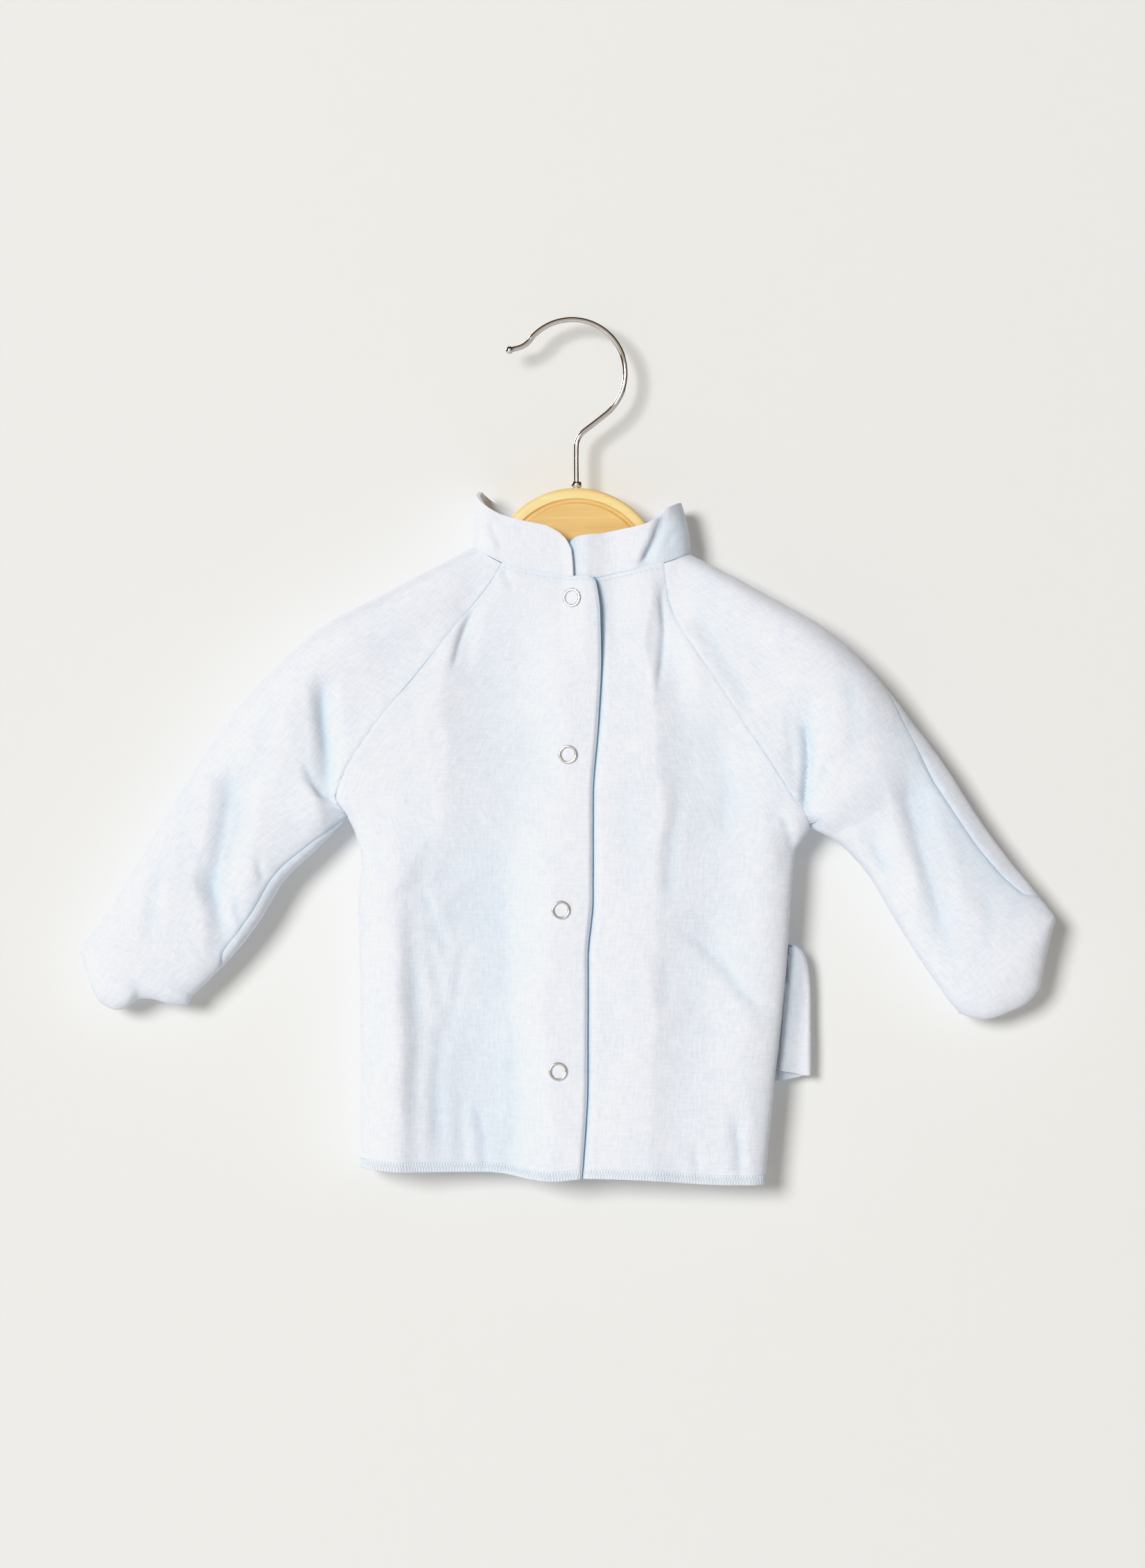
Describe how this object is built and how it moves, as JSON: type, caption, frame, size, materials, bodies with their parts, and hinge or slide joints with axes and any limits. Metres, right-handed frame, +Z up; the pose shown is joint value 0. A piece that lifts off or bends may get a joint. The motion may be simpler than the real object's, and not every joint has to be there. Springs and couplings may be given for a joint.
{
  "type": "baby shirt and hanger",
  "caption": "Long-sleeved baby shirt with a stand collar, snap front and closed sleeve ends, hanging on a flat wooden baby hanger with a wire hook.",
  "frame": {"origin": "inner top of the hook, where a rail carries it", "axes": "+X towards the wearer's left, +Y towards the back, +Z up"},
  "size_m": [0.4926, 0.0386, 0.4376],
  "materials": {
    "jersey": "brushed cotton jersey, pale blue",
    "snap_metal": "bright nickel",
    "wood": "varnished, honey coloured",
    "hook_chrome": "polished"
  },
  "bodies": {
    "root": {"front_right": "jersey", "front_left": "jersey", "back": "jersey", "sleeve_right_front": "jersey", "sleeve_right_back": "jersey", "sleeve_left_front": "jersey", "sleeve_left_back": "jersey", "collar": "jersey", "side_tab": "jersey", "snap_1_cap": "snap_metal", "snap_1_coupling": "snap_metal", "snap_1_back": "snap_metal", "snap_2_cap": "snap_metal", "snap_2_coupling": "snap_metal", "snap_2_back": "snap_metal", "snap_3_cap": "snap_metal", "snap_3_coupling": "snap_metal", "snap_3_back": "snap_metal", "snap_4_cap": "snap_metal", "snap_4_coupling": "snap_metal", "snap_4_back": "snap_metal", "hanger_wood": "wood", "hook": "hook_chrome", "ferrule": "hook_chrome"}
  },
  "joints": []
}
